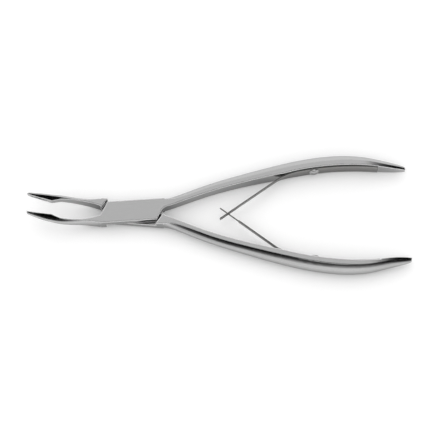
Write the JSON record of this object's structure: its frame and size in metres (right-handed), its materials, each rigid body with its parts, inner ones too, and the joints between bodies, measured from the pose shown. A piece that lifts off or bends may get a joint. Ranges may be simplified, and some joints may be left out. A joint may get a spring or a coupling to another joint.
{
  "type": "bone rongeur",
  "caption": "Slender hand-held bone rongeur with curved cupped jaws, a lap joint, bowed handles and crossed leaf springs that hook together and open it.",
  "frame": {"origin": "on the pivot's axis, in the flat back face of the joint", "axes": "+X along the tool towards the handles, +Y to the front half's handle, +Z out of the joint's front face, the way the jaws curve"},
  "size_m": [0.1391, 0.047, 0.0111],
  "materials": {
    "satin_steel": "satin ground stainless steel, brighter on the rounded handles",
    "spring_steel": "satin spring steel",
    "screw_steel": "turned and polished steel"
  },
  "bodies": {
    "back": {"back_half": "satin_steel", "back_spring": "spring_steel", "back_spring_screw": "screw_steel"},
    "front": {"front_half": "satin_steel", "pivot_screw": "screw_steel", "front_spring": "spring_steel", "front_spring_screw": "screw_steel"}
  },
  "joints": [
    {"name": "pivot", "type": "hinge", "parent": "back", "child": "front", "pos_m": [0, 0, 0.002], "axis": [0, 0, -1], "range_deg": [0, 9.7], "stiffness_Nm_per_rad": 3, "springref_deg": -1.72, "deforming": ["front_spring", "back_spring"]}
  ]
}
